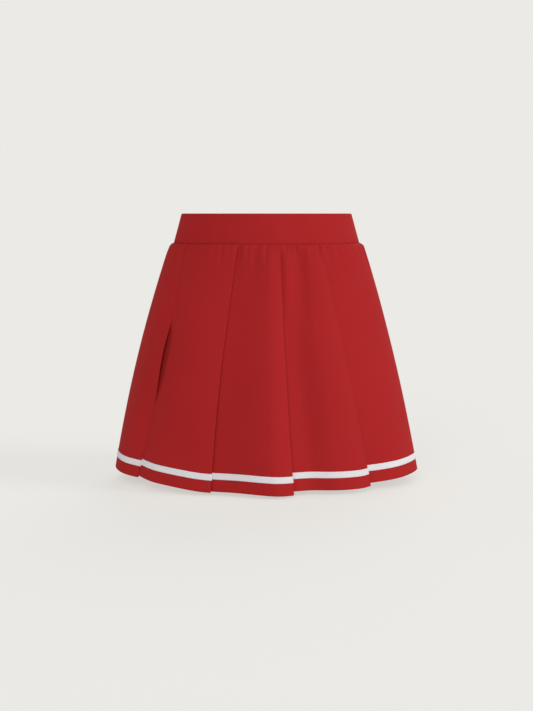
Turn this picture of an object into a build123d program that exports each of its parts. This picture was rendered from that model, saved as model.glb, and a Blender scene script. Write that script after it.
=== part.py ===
from build123d import *
import math
import os

# A knife-pleated cheer skirt with a firm waistband, standing open as it is worn.
# Millimetres.  The origin is the middle of the waist opening, level with the band's top edge.
# +Z is up, the front faces -Y, and +X is the wearer's left.

os.makedirs("parts", exist_ok=True)

# ------------------------------------------------------------------ driving dimensions
SKIRT_LENGTH = 384.0
BAND_HEIGHT = 42.0
SEAM_GAP = 0.2                      # between pieces that are sewn edge to edge

# the band's outer face: half width and half depth at its two edges
BAND_TOP_HALF_WIDTH = 123.0
BAND_TOP_HALF_DEPTH = 86.0
BAND_FOOT_HALF_WIDTH = 134.5
ZIP_LEAN = 0.20                     # outward run of the centre back for each unit down
BAND_CLOTH = 1.4
LAYER_GAP = 0.1
INTERLINING = 0.8
FACING = 1.0
TOP_LIP = 1.2                       # band cloth turned over the top edge
LINING_RISE = 0.5                   # the facing and interlining end this far above the band's lower edge
FACING_BACK_EDGE = 7.0              # from centre back to the facing's edge beside the zip

# the skirt's base line, which the inner layer of the pleats follows
SHOULDER_HALF_WIDTH = 137.0
SIDE_FLARE = 108.0
SIDE_EASE = 26.0                    # how much the flare slackens towards the hem
SHOULDER = 5.0                      # the sides round in to the waist seam by this much
SHOULDER_DEPTH = 5.0
BACK_KINK_DEPTH = 190.0             # centre back is straight down to here, for the zip
BACK_LEAN_BELOW = 0.134
FRONT_FULLER_AT_WAIST = 3.0
FRONT_FULLER_AT_HEM = -5.0
POINTED_AT_HEM = 0.4                # 0 makes an ellipse, more draws the sides to a point

# knife pleats, all lapping towards the wearer's left at the front
CLOTH = 1.0
LIFT_AT_WAIST = 4.0                 # how far a fold's edge stands off the base line
PITCH_AT_WAIST = 1.6                # spacing of the two layers either side of a fold
PITCH_AT_HEM = 3.2
UNDERLAY = 0.027                    # how far a pleat folds back, as a share of the girth
PANEL_SPANS = 7                     # straight runs that a pleat's panel is drawn with
BACK_SPANS = 3                      # the same for each side of the back panel

# each fold's place round the girth at the waist and at the hem, and its lift at the hem;
# 0 is centre front and 0.5 is centre back
FOLDS = [
    (-0.158, -0.1717, 16.0),
    (-0.048, -0.0708, 10.5),
    (0.0315, 0.0333, 16.0),
    (0.127, 0.1342, 13.5),
    (0.2375, 0.2375, 11.0),
    (0.345, 0.345, 13.0),
    (0.455, 0.455, 13.0),
    (0.560, 0.560, 13.0),
    (0.644, 0.644, 13.0),
    (0.728, 0.728, 10.5),
]
SIDE_FOLD_LEFT = 4                  # the front panel ends inside this fold
BACK_FOLD = 7                       # this fold is the first past centre back
BACK_SHARE = 0.75                   # the back panel's lift at centre back, as a share of its fold's
BACK_LOW_SHARE = 0.25               # and at the folded edge before it
BACK_FLAT = 16.0                    # the back panel is flat this far either side of the zip
BACK_EASE = 6.0                     # and curves again this much further out
SLIT = 0.8                          # half the opening over the zip
CLOSED_SEAM = 0.1

# white ribbon above the hem
STRIPE_TOP = 26.0                   # above the hem
STRIPE_FOOT = 17.0
STRIPE = 0.5
STRIPE_GAP = 0.05

# concealed zip, measured down the zip from the level of the band's top edge
TAPE = 0.6
TAPE_INNER = 1.0
TAPE_OUTER = 13.0
TAPE_START = 2.5
TAPE_END = 195.0
SLIT_END = 188.0                    # below the waist
TEETH_START = 9.0
TEETH_END = 180.0
TOOTH_PITCH = 2.0
TOOTH_TIP = 0.75
TOOTH_ROOT = 1.5
TEETH_OUTER = 2.6
TEETH_DEPTH = 1.6
TEETH_GAP = 0.05
SLIDER_START = 10.5
SLIDER_LENGTH = 9.5
SLIDER_WIDTH = 8.4
SLIDER_WALL = 0.9
SLIDER_INNER_FACE = -3.4
SLIDER_RIM = -0.65
SLIDER_CORNER = 2.0
BRIDGE_WIDTH = 0.8
BRIDGE_LENGTH = 5.0
SADDLE_BASE = 2.3
SADDLE_WIDTH = 5.0
SADDLE_LENGTH = 8.0
SADDLE = 0.9
SADDLE_CORNER = 1.8
BAR_RADIUS = 0.6
BAR_HEIGHT = 5.1
EAR_INNER = 1.3
EAR_OUTER = 2.3
EAR_LENGTH = 3.4
EAR_TOP = 6.0
EAR_CORNER = 0.4
PULL_HOLE = 0.66
PULL_EYE = 1.4
PULL_NECK = 1.0                     # half width beside the ears
PULL_REACH = 18.0                   # bar to the centre of the pull's round end
PULL_END = 3.2
PULL_END_HOLE = 1.45
PULL = 1.1
STOP_HALF_WIDTH = 2.6
BOTTOM_STOP_START = 181.0
BOTTOM_STOP_LENGTH = 3.5
BOTTOM_STOP_CORNER = 0.8
BOTTOM_STOP_DEPTH = 1.8
TOP_STOP_START = 7.0
TOP_STOP_LENGTH = 1.6
TOP_STOP_ROUNDING = 0.3

# hook and eye above the zip
FASTENER_DOWN = 4.0
WIRE = 0.4
EYE_DEPTH = -2.4
EYE_BEND = 1.6
EYE_REACH = 1.1
EYE_FOOT = -9.0
EYE_RING = 1.3
EYE_RING_SPREAD = 0.3               # the rings turn outward from the arms by this much
HOOK_HALF_WIDTH = 0.9
HOOK_SECTION = [                    # across the zip and outward, from the sewn end round to it again
    (13.0, -2.6), (13.0, -2.1), (6.0, -2.1), (4.6, -2.9), (0.0, -2.9), (0.0, -1.9),
    (2.2, -1.9), (2.2, -1.5), (-0.5, -1.5), (-0.5, -3.4), (5.0, -3.4), (6.4, -2.6),
]
HOOK_RINGS_ACROSS = 10.0
HOOK_RING_SPACING = 3.6
HOOK_RING_OUTER = 1.8
HOOK_RING_INNER = 0.8
HOOK_WIRE = 0.5

# ribbon loops and label inside
LOOP_HALF_SPREAD = 127.0
LOOP_TOP = 38.0
LOOP_LENGTH = 62.0
LOOP_THICK = 3.6
RIBBON = 0.6
RIBBON_WIDTH = 6.0
LABEL_ACROSS = 38.4                 # from centre back to the middle of its sewn edge
LABEL_OUT = 81.1                    # from the middle of the waist back to it
LABEL_TURN = 13.0                   # degrees that it faces towards the wearer's left
LABEL_WIDTH = 30.0
LABEL_LENGTH = 44.0
LABEL_TOP = 36.0
LABEL = 0.5

# heights of the pleated sections, below the waist
SECTION_DEPTHS = [
    BAND_HEIGHT + SEAM_GAP, 44.5, 47.0, 75.0, 110.0, 150.0, SLIT_END, BACK_KINK_DEPTH, 235.0, 290.0,
    SKIRT_LENGTH - STRIPE_TOP, SKIRT_LENGTH - STRIPE_FOOT, SKIRT_LENGTH,
]
OUTLINE_STEPS = 720

ZIP_PLANE_Y = BAND_TOP_HALF_DEPTH - BAND_CLOTH - LAYER_GAP - INTERLINING / 2
BACK_CLOTH_OFFSET = TAPE / 2 + LAYER_GAP + CLOTH / 2
BAND_FOOT_HALF_DEPTH = BAND_TOP_HALF_DEPTH + ZIP_LEAN * BAND_HEIGHT
FACING_INSET = BAND_CLOTH + INTERLINING + 2 * LAYER_GAP

# local x runs across the zip, local y down it and local z outward
zip_plane = Plane(origin=(0, ZIP_PLANE_Y, 0), x_dir=(1, 0, 0), z_dir=(0, 1, ZIP_LEAN))


# ------------------------------------------------------------------ the shape of the pleated cloth
def fall(depth):
    """How far down the skirt a depth below the waist is: 0 at the waist seam, 1 at the hem."""
    return (depth - BAND_HEIGHT) / (SKIRT_LENGTH - BAND_HEIGHT)


def between(start, end, share):
    return start + (end - start) * share


def fold_lift(fold, depth):
    return between(LIFT_AT_WAIST, FOLDS[fold][2], fall(depth))


def fold_place(fold, depth):
    return between(FOLDS[fold][0], FOLDS[fold][1], fall(depth))


def back_y(depth):
    """The middle of the cloth's thickness at centre back."""
    straight = min(depth, BACK_KINK_DEPTH)
    below = max(depth - BACK_KINK_DEPTH, 0)
    return ZIP_PLANE_Y + BACK_CLOTH_OFFSET + ZIP_LEAN * straight + BACK_LEAN_BELOW * below


def half_width(depth):
    share = fall(depth)
    rounding = max(0.0, 1 - (depth - BAND_HEIGHT) / SHOULDER_DEPTH)
    return SHOULDER_HALF_WIDTH + SIDE_FLARE * share - SIDE_EASE * share**2 - SHOULDER * rounding**2


def half_depth(depth, front):
    base = back_y(depth) - BACK_SHARE * fold_lift(BACK_FOLD, depth)
    if front:
        base += between(FRONT_FULLER_AT_WAIST, FRONT_FULLER_AT_HEM, fall(depth))
    return base


def base_line(depth):
    """Points round the skirt from centre back by the wearer's right, front and left, and the run to each."""
    points = []
    for step in range(OUTLINE_STEPS + 1):
        turn = math.pi * (2 * step / OUTLINE_STEPS - 1)
        forward = math.cos(turn)
        pointed = abs(forward) ** (POINTED_AT_HEM * fall(depth))
        y = -half_depth(depth, forward > 0) * forward * pointed
        points.append((half_width(depth) * math.sin(turn), y))
    runs = [0.0]
    for start, end in zip(points, points[1:]):
        runs.append(runs[-1] + math.dist(start, end))
    return points, runs


def standing_off(line, place, lift):
    """The point at a place round the girth that stands off the base line by a lift."""
    points, runs = line
    target = (place + 0.5) * runs[-1]
    step = next(i for i in range(1, len(runs)) if runs[i] >= target - 1e-9)
    (x0, y0), (x1, y1) = points[step - 1], points[step]
    length = runs[step] - runs[step - 1]
    share = (target - runs[step - 1]) / length
    out = ((y1 - y0) / length, -(x1 - x0) / length)
    return (between(x0, x1, share) + lift * out[0], between(y0, y1, share) + lift * out[1])


def wrapped(place):
    return place - 1 if place > 0.5 else place


def stretch(line, start, end, count):
    """Evenly spaced points between two (place, lift) pairs, both included."""
    points = []
    for i in range(count + 1):
        place = between(start[0], end[0], i / count)
        points.append(standing_off(line, wrapped(place), between(start[1], end[1], i / count)))
    return points


def panel_start(fold, depth):
    """Where a pleat's outer layer starts, at the inner fold behind the edge of the pleat before it."""
    before = fold_place(fold - 1, depth) - UNDERLAY
    return before - 1 if fold == 0 else before


def panel(line, depth, fold):
    """The outer layer of one pleat, from its inner fold up to its folded edge."""
    edge = (fold_place(fold, depth), fold_lift(fold, depth))
    return stretch(line, (panel_start(fold, depth), 0.0), edge, PANEL_SPANS)


def turn_back(line, depth, fold):
    """The layer folded back behind a pleat's edge, up to the inner fold."""
    edge = fold_place(fold, depth)
    pitch = between(PITCH_AT_WAIST, PITCH_AT_HEM, fall(depth))
    lift = fold_lift(fold, depth)
    return [
        standing_off(line, wrapped(edge), lift - pitch),
        standing_off(line, wrapped(edge - UNDERLAY / 2), lift / 2),
        standing_off(line, wrapped(edge - UNDERLAY), pitch),
    ]


def seam_point(line, depth, fold, side):
    """Where two panels meet inside a fold; side is 1 on the outer panel and -1 on the inner one."""
    pitch = between(PITCH_AT_WAIST, PITCH_AT_HEM, fall(depth))
    place = wrapped(fold_place(fold, depth) - UNDERLAY)
    return standing_off(line, place, pitch / 2 + side * CLOSED_SEAM)


def back_flat(depth, side):
    """The flat stretch beside the zip, from its outer end to the slit; side is 1 on the wearer's left."""
    slit = SLIT if depth <= SLIT_END else CLOSED_SEAM
    return [(side * BACK_FLAT, back_y(depth)), (side * slit, back_y(depth))]


def beside_flat(line, depth, side):
    """The place and lift of the back pleat's panel just outside its flat stretch."""
    girth = line[1][-1]
    return (0.5 - side * (BACK_FLAT + BACK_EASE) / girth, BACK_SHARE * fold_lift(BACK_FOLD, depth))


def front_line(depth):
    line = base_line(depth)
    last = len(FOLDS) - 1
    points = [seam_point(line, depth, last, -1)]
    for fold in range(SIDE_FOLD_LEFT + 1):
        points += panel(line, depth, fold) + turn_back(line, depth, fold)
    points.append(seam_point(line, depth, SIDE_FOLD_LEFT, 1))
    return points


def back_left_line(depth):
    line = base_line(depth)
    points = [seam_point(line, depth, SIDE_FOLD_LEFT, -1)]
    for fold in range(SIDE_FOLD_LEFT + 1, BACK_FOLD):
        points += panel(line, depth, fold) + turn_back(line, depth, fold)
    # behind the fold before it, the back panel has to lie low
    under = (fold_place(BACK_FOLD - 1, depth), BACK_LOW_SHARE * fold_lift(BACK_FOLD, depth))
    points += stretch(line, (panel_start(BACK_FOLD, depth), 0.0), under, BACK_SPANS)
    points.append(standing_off(line, *beside_flat(line, depth, 1)))
    return points + back_flat(depth, 1)


def back_right_line(depth):
    line = base_line(depth)
    edge = (fold_place(BACK_FOLD, depth), fold_lift(BACK_FOLD, depth))
    points = back_flat(depth, -1)[::-1] + stretch(line, beside_flat(line, depth, -1), edge, BACK_SPANS)
    points += turn_back(line, depth, BACK_FOLD)
    for fold in range(BACK_FOLD + 1, len(FOLDS)):
        points += panel(line, depth, fold) + turn_back(line, depth, fold)
    points.append(seam_point(line, depth, len(FOLDS) - 1, 1))
    return points


def shifted(points, distance):
    """A polyline moved sideways towards the cloth's right side, with mitred corners."""
    ways = []
    for (x0, y0), (x1, y1) in zip(points, points[1:]):
        length = math.hypot(x1 - x0, y1 - y0)
        ways.append(((x1 - x0) / length, (y1 - y0) / length))
    moved = []
    for i, (x, y) in enumerate(points):
        before = ways[max(i - 1, 0)]
        after = ways[min(i, len(ways) - 1)]
        across = (before[1] + after[1], -before[0] - after[0])
        reach = distance / (across[0] * after[1] - across[1] * after[0])
        moved.append((x + across[0] * reach, y + across[1] * reach))
    return moved


def pleated_sheet(line_at, depths, inner, outer):
    """Cloth between two distances from the middle of its thickness, lofted down the skirt."""
    with BuildPart() as sheet:
        for depth in depths:
            middle = line_at(depth)
            with BuildSketch(Plane.XY.offset(-depth)):
                with BuildLine():
                    Polyline(*shifted(middle, outer), *shifted(middle, inner)[::-1], close=True)
                make_face()
        loft(ruled=True)
    return sheet


def save(piece, name):
    piece.part.label = name
    export_step(piece.part, f"parts/{name}.step")


# ------------------------------------------------------------------ skirt panels and hem stripe
stripe_depths = [SKIRT_LENGTH - STRIPE_TOP, SKIRT_LENGTH - STRIPE_FOOT]
stripe_inner = CLOTH / 2 + STRIPE_GAP
for place, line_at in (("front", front_line), ("back_left", back_left_line), ("back_right", back_right_line)):
    save(pleated_sheet(line_at, SECTION_DEPTHS, -CLOTH / 2, CLOTH / 2), f"skirt_{place}")
    save(pleated_sheet(line_at, stripe_depths, stripe_inner, stripe_inner + STRIPE), f"hem_stripe_{place}")


# ------------------------------------------------------------------ waistband
def band_radii(inset, depth):
    share = depth / BAND_HEIGHT
    wide = between(BAND_TOP_HALF_WIDTH, BAND_FOOT_HALF_WIDTH, share) - inset
    deep = between(BAND_TOP_HALF_DEPTH, BAND_FOOT_HALF_DEPTH, share) - inset
    return wide, deep


def band_ring(outset, inset, top, foot):
    """A ring of the band between two insets from its outer face and two depths below its top edge."""
    with BuildPart() as ring:
        for depth in (top, foot):
            with BuildSketch(Plane.XY.offset(-depth)):
                Ellipse(*band_radii(outset, depth))
                Ellipse(*band_radii(inset, depth), mode=Mode.SUBTRACT)
        loft(ruled=True)
    return ring


def band_piece(ring, place, slit):
    """One of the three lengths that a ring of the band is sewn from."""
    reach = 2 * BAND_FOOT_HALF_WIDTH
    with BuildPart() as piece:
        add(ring)
        if place == "front":
            Box(reach, reach, reach, align=(Align.CENTER, Align.MAX, Align.CENTER), mode=Mode.INTERSECT)
        else:
            side = Align.MIN if place == "back_left" else Align.MAX
            edge = slit if place == "back_left" else -slit
            with Locations((edge, SEAM_GAP, 0)):
                Box(reach, reach, reach, align=(side, Align.MIN, Align.CENTER), mode=Mode.INTERSECT)
    return piece


with BuildPart() as band_cloth:
    add(band_ring(0, BAND_CLOTH, 0, BAND_HEIGHT).part)
    add(band_ring(0, FACING_INSET, 0, TOP_LIP).part)
    # the cloth is pressed flat over the zip's tapes
    with BuildSketch(zip_plane.offset(-TAPE / 2 - LAYER_GAP)):
        with Locations((0, TAPE_END / 2)):
            Rectangle(2 * TAPE_OUTER + 4 * LAYER_GAP, TAPE_END - 2 * TAPE_START)
    extrude(amount=TAPE + 2 * LAYER_GAP, mode=Mode.SUBTRACT)

facing_ring = band_ring(FACING_INSET, FACING_INSET + FACING, 0, BAND_HEIGHT - LINING_RISE)
interlining_inset = BAND_CLOTH + LAYER_GAP
interlining_ring = band_ring(
    interlining_inset, interlining_inset + INTERLINING, TOP_LIP + 2 * LAYER_GAP, BAND_HEIGHT - LINING_RISE
)

for place in ("front", "back_left", "back_right"):
    save(band_piece(band_cloth.part, place, SLIT), f"waistband_{place}")
    save(band_piece(facing_ring.part, place, FACING_BACK_EDGE), f"waistband_facing_{place}")
    save(band_piece(interlining_ring.part, place, TAPE_OUTER + 1), f"waistband_interlining_{place}")

# ------------------------------------------------------------------ zip tapes, teeth and stops
for place, side in (("left", 1), ("right", -1)):
    with BuildPart() as tape:
        with BuildSketch(zip_plane.offset(-TAPE / 2)):
            with Locations((side * (TAPE_INNER + TAPE_OUTER) / 2, (TAPE_START + TAPE_END) / 2)):
                Rectangle(TAPE_OUTER - TAPE_INNER, TAPE_END - TAPE_START)
        extrude(amount=TAPE)
    save(tape, f"zipper_tape_{place}")

    tooth_count = int((TEETH_END - TEETH_START) / TOOTH_PITCH)
    first_tooth = TEETH_START + (0.25 if side > 0 else 0.75) * TOOTH_PITCH
    with BuildPart() as teeth:
        with BuildSketch(zip_plane.offset(-TAPE / 2 - TEETH_GAP)):
            with Locations((side * (TOOTH_ROOT + TEETH_OUTER) / 2, (TEETH_START + TEETH_END) / 2)):
                Rectangle(TEETH_OUTER - TOOTH_ROOT, TEETH_END - TEETH_START)
            for tooth in range(tooth_count):
                with Locations((side * (TOOTH_TIP + TOOTH_ROOT) / 2, first_tooth + tooth * TOOTH_PITCH)):
                    Rectangle(TOOTH_ROOT - TOOTH_TIP, TOOTH_PITCH / 2)
        extrude(amount=-TEETH_DEPTH)
    save(teeth, f"zipper_teeth_{place}")

with BuildPart() as zipper_top_stops:
    with BuildSketch(zip_plane.offset(-TAPE / 2 - TEETH_GAP)):
        with GridLocations(TOOTH_TIP + STOP_HALF_WIDTH, 0, 2, 1):
            with Locations((0, TOP_STOP_START + TOP_STOP_LENGTH / 2)):
                Rectangle(STOP_HALF_WIDTH - TOOTH_TIP, TOP_STOP_LENGTH)
    extrude(amount=-TEETH_DEPTH)
    fillet(zipper_top_stops.edges().group_by(Axis.Y)[0], radius=TOP_STOP_ROUNDING)
save(zipper_top_stops, "zipper_top_stops")

with BuildPart() as zipper_bottom_stop:
    with BuildSketch(zip_plane.offset(-TAPE / 2 - TEETH_GAP)):
        with Locations((0, BOTTOM_STOP_START + BOTTOM_STOP_LENGTH / 2)):
            RectangleRounded(2 * STOP_HALF_WIDTH, BOTTOM_STOP_LENGTH, BOTTOM_STOP_CORNER)
    extrude(amount=-BOTTOM_STOP_DEPTH)
save(zipper_bottom_stop, "zipper_bottom_stop")

# ------------------------------------------------------------------ slider: inner shoe, bridge, outer saddle
slider_middle = SLIDER_START + SLIDER_LENGTH / 2
with BuildPart() as zipper_slider:
    with BuildSketch(zip_plane.offset(SLIDER_INNER_FACE)):
        with Locations((0, slider_middle)):
            RectangleRounded(SLIDER_WIDTH, SLIDER_LENGTH, SLIDER_CORNER)
    extrude(amount=SLIDER_WALL)
    with BuildSketch(zip_plane.offset(SLIDER_INNER_FACE + SLIDER_WALL)):
        with Locations((0, slider_middle)):
            with GridLocations(SLIDER_WIDTH - SLIDER_WALL, 0, 2, 1):
                Rectangle(SLIDER_WALL, SLIDER_LENGTH - 2 * SLIDER_CORNER)
    extrude(amount=SLIDER_RIM - SLIDER_INNER_FACE - SLIDER_WALL)
    with BuildSketch(zip_plane.offset(SLIDER_INNER_FACE + SLIDER_WALL)):
        with Locations((0, slider_middle)):
            Rectangle(BRIDGE_WIDTH, BRIDGE_LENGTH)
    extrude(amount=SADDLE_BASE - SLIDER_INNER_FACE - SLIDER_WALL)
    with BuildSketch(zip_plane.offset(SADDLE_BASE)):
        with Locations((0, slider_middle)):
            RectangleRounded(SADDLE_WIDTH, SADDLE_LENGTH, SADDLE_CORNER)
    extrude(amount=SADDLE)
    with BuildSketch(zip_plane.offset(SADDLE_BASE + SADDLE)):
        with Locations((0, slider_middle)):
            with GridLocations(EAR_INNER + EAR_OUTER, 0, 2, 1):
                RectangleRounded(EAR_OUTER - EAR_INNER, EAR_LENGTH, EAR_CORNER)
    extrude(amount=EAR_TOP - SADDLE_BASE - SADDLE)
    bar_plane = Plane(zip_plane.from_local_coords((-EAR_OUTER, slider_middle, BAR_HEIGHT)), z_dir=(1, 0, 0))
    with BuildSketch(bar_plane):
        Circle(BAR_RADIUS)
    extrude(amount=2 * EAR_OUTER)
save(zipper_slider, "zipper_slider")

with BuildPart() as zipper_pull:
    with BuildSketch(zip_plane.offset(BAR_HEIGHT - PULL / 2)):
        with Locations((0, slider_middle + PULL_REACH)):
            Circle(PULL_END)
        with Locations((0, slider_middle + PULL_REACH / 4)):
            Circle(PULL_NECK)
        make_hull()
        with Locations((0, slider_middle + PULL_REACH / 8)):
            Rectangle(2 * PULL_NECK, PULL_REACH / 4)
        with Locations((0, slider_middle + PULL_REACH)):
            Circle(PULL_END_HOLE, mode=Mode.SUBTRACT)
    extrude(amount=PULL)
    bar_end = Plane(zip_plane.from_local_coords((-PULL_NECK, slider_middle, BAR_HEIGHT)), z_dir=(1, 0, 0))
    with BuildSketch(bar_end):
        Circle(PULL_EYE)
    extrude(amount=2 * PULL_NECK)
    with BuildSketch(bar_end):
        Circle(PULL_HOLE)
    extrude(amount=2 * PULL_NECK, mode=Mode.SUBTRACT)
save(zipper_pull, "zipper_pull")

# ------------------------------------------------------------------ hook and eye
eye_plane = zip_plane.offset(EYE_DEPTH)
bend_start = EYE_REACH - EYE_BEND
with BuildPart() as waist_eye:
    with BuildLine(eye_plane) as eye_line:
        arm = Line((EYE_FOOT, FASTENER_DOWN - EYE_BEND), (bend_start, FASTENER_DOWN - EYE_BEND))
        bend = JernArc(arm @ 1, arm % 1, EYE_BEND, 180)
        Line(bend @ 1, (EYE_FOOT, FASTENER_DOWN + EYE_BEND))
    with BuildSketch(eye_line.line ^ 0):
        Circle(WIRE)
    sweep(path=eye_line.line)
    for side in (-1, 1):
        down = FASTENER_DOWN + side * (EYE_BEND + EYE_RING_SPREAD)
        centre = zip_plane.from_local_coords((EYE_FOOT - EYE_RING, down, EYE_DEPTH))
        with Locations(Plane(centre, x_dir=(1, 0, 0), z_dir=zip_plane.z_dir)):
            Torus(EYE_RING, WIRE)
save(waist_eye, "waist_eye")

hook_section = zip_plane.from_local_coords((0, FASTENER_DOWN + HOOK_HALF_WIDTH, 0))
hook_plane = Plane(hook_section, x_dir=(1, 0, 0), z_dir=-zip_plane.y_dir)
with BuildPart() as waist_hook:
    with BuildSketch(hook_plane):
        with BuildLine():
            Polyline(*HOOK_SECTION, close=True)
        make_face()
    extrude(amount=2 * HOOK_HALF_WIDTH)
    # rings that the hook is sewn on by
    with BuildSketch(zip_plane.offset(HOOK_SECTION[0][1])):
        with Locations((HOOK_RINGS_ACROSS, FASTENER_DOWN)):
            with GridLocations(0, HOOK_RING_SPACING, 1, 2):
                Circle(HOOK_RING_OUTER)
                Circle(HOOK_RING_INNER, mode=Mode.SUBTRACT)
    extrude(amount=HOOK_WIRE)
save(waist_hook, "waist_hook")

# ------------------------------------------------------------------ hanger loops and care label
for place, side in (("left", 1), ("right", -1)):
    with BuildPart() as hanger_loop:
        with BuildSketch(Plane.XZ.offset(-RIBBON_WIDTH / 2)):
            with Locations((side * LOOP_HALF_SPREAD, -LOOP_TOP - LOOP_LENGTH / 2)):
                SlotOverall(LOOP_LENGTH, LOOP_THICK, rotation=90)
                SlotOverall(LOOP_LENGTH - 2 * RIBBON, LOOP_THICK - 2 * RIBBON, rotation=90, mode=Mode.SUBTRACT)
        extrude(amount=RIBBON_WIDTH)
    save(hanger_loop, f"hanger_loop_{place}")

label_turn = math.radians(LABEL_TURN)
label_plane = Plane(
    origin=(LABEL_ACROSS, LABEL_OUT, -LABEL_TOP),
    x_dir=(-math.cos(label_turn), math.sin(label_turn), 0),
    z_dir=(math.sin(label_turn), math.cos(label_turn), 0),
)
with BuildPart() as care_label:
    with BuildSketch(label_plane):
        with Locations((0, -LABEL_LENGTH / 2)):
            Rectangle(LABEL_WIDTH, LABEL_LENGTH)
    extrude(amount=LABEL)
save(care_label, "care_label")
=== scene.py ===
import math

import bmesh
import bpy
import numpy as np
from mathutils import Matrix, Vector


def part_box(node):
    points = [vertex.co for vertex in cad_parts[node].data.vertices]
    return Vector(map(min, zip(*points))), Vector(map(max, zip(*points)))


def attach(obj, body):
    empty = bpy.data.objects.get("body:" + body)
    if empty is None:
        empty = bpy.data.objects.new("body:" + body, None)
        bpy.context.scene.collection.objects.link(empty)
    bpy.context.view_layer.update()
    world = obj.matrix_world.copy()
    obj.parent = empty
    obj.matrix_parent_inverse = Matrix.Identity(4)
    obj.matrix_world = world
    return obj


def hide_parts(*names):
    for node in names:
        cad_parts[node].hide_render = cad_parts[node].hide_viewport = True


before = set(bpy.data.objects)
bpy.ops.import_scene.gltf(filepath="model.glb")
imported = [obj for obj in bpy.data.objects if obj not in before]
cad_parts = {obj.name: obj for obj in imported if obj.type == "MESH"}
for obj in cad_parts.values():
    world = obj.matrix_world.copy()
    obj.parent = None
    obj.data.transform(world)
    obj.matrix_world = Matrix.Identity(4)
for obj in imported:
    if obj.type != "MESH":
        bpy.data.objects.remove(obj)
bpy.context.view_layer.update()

# A pleated cheer skirt, standing open as it is worn.  Shapes are worked out in millimetres, as the pattern
# is drawn, and MM turns them into Blender's metres.
MM = 0.001

# ------------------------------------------------------------------ camera
# level with the waistband's top edge, 1.9 m in front, tipped down to the middle of the skirt
CAMERA_DISTANCE = 1.9
CAMERA_TILT = 6.223
CAMERA_LENS = 65.94

camera = bpy.data.objects.new("camera", bpy.data.cameras.new("camera"))
camera.location = (0.0, -CAMERA_DISTANCE, 0.0)
camera.rotation_euler = (math.radians(90 - CAMERA_TILT), 0.0, 0.0)
camera.data.lens = CAMERA_LENS
bpy.context.collection.objects.link(camera)
bpy.context.scene.camera = camera

# ------------------------------------------------------------------ sizes
BAND_HEIGHT = -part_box("waistband_front")[0][2] / MM
BAND_TOP_HALF_WIDTH = 123.0
BAND_FOOT_HALF_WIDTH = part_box("waistband_front")[1][0] / MM
BAND_TOP_HALF_DEPTH = 86.0
BAND_FOOT_HALF_DEPTH = -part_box("waistband_front")[0][1] / MM
BAND_CLOTH = 1.2
BAND_ROLL = 1.15                    # radius that the band's cloth turns over the top edge with
BAND_TURNED_IN = 4.2                # how far that cloth comes down inside
BAND_FOOT_ROLL = 0.6                # height of the turned edge at the band's foot
FACING = 0.9
FACING_INSET = 2.9
FACING_BACK_EDGE = 7.5              # from centre back to the facing's edge beside the zip
FACING_TOP = 4.5
FACING_FOOT = BAND_HEIGHT - 0.8
HEM_DEPTH = -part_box("skirt_front")[0][2] / MM

ZIP_LEAN = 0.20                     # outward run of the centre back for each unit down
ZIP_PLANE_Y = 84.1
BACK_CLOTH_OFFSET = 0.9
BACK_KINK_DEPTH = 190.0
BACK_LEAN_BELOW = 0.115
BACK_SWING = 45.0                   # how gradually the lean changes below there
SLIT_END = 188.0
SLIT = 0.55                         # half the opening over the zip
SLIT_CLOSING = 3.0                  # height over which it closes at its foot
BACK_FLAT = 16.0                    # the cloth is flat this far either side of the zip
BACK_EASE = 34.0                    # and back on its own curve this far out

CLOTH = 0.9
SHOULDER_HALF_WIDTH = 138.5
SIDE_FLARE = 111.5
SIDE_EASE = 32.0
SHOULDER = 5.0                      # height that the cloth rounds out over below the band
SEAM_INSET = 1.3                    # where it goes in under the band, from the band's outer face
SEAM_DROP = 0.55                    # from the band's foot to the middle of the cloth under it
FRONT_FULLER_AT_WAIST = 5.0
FRONT_FULLER_AT_HEM = -5.0
POINTED_AT_HEM = 0.4
SWAY = -1.5                         # the hem hangs this far towards the wearer's right
HEM_RISE = (0.008, -0.004, 0.030)    # the share that the skirt's length loses: all round, at its right more
                                    # than its left, and at both sides, where the cloth leans out most
SAG = (-0.075, 0.040, 3.2)          # the hem hangs lower here: place round the girth, half width and drop

UNDERLAY = 0.027                    # how far a pleat folds back, as a share of the girth
LIFT_AT_SEAM = 2.2                  # how far a fold's edge stands off where it is pressed flat
LIFT_AT_WAIST = 4.0                 # the same further down, which sets the depth of the base line
BACK_LIFT_SHARE = 0.75              # how much of its lift the back pleat has at centre back
PITCH_PRESSED = 1.05                # spacing of the two layers either side of a fold
PITCH_AT_HEM = 2.25
WAIST_GIRTH = 729.0

# each fold's place round the girth at the waist, half way down and at the hem, with 0 at centre front and
# 0.5 at centre back; how far its edge stands off at the hem; how much lower its edge hangs than the next
# pleat; how far across its panel the crest lies; and how deep the panel's hollow is
FOLDS = [
    (-0.166, -0.161, -0.182, 4.6, 2.4, 0.84, 0.0),
    (-0.054, -0.0645, -0.069, 4.6, 1.2, 0.50, 0.0),
    (0.025, 0.0277, 0.035, 6.0, 4.2, 0.86, 1.0),
    (0.104, 0.122, 0.141, 5.0, 4.0, 0.88, 5.5),
    (0.232, 0.235, 0.2375, 9.0, 1.0, 0.66, 0.0),
    (0.345, 0.345, 0.345, 9.0, 1.6, 0.80, 2.0),
    (0.455, 0.455, 0.455, 8.0, 0.8, 0.84, 2.5),
    (0.560, 0.560, 0.560, 9.0, 2.0, 0.80, 1.0),
    (0.644, 0.644, 0.644, 7.0, 1.2, 0.72, 1.5),
    (0.728, 0.728, 0.728, 6.0, 2.0, 0.84, 2.0),
]
PRESSED_DEPTH = 130.0               # the pleats lie pressed flat down to here
GAPING_FOLD = 0                     # this fold gapes open half way down
GAPE = 5.2
GAPE_OPENS = (144.0, 196.0)         # the depths that it opens over
GAPE_CLOSES = (205.0, 290.0)        # and closes over
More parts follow.
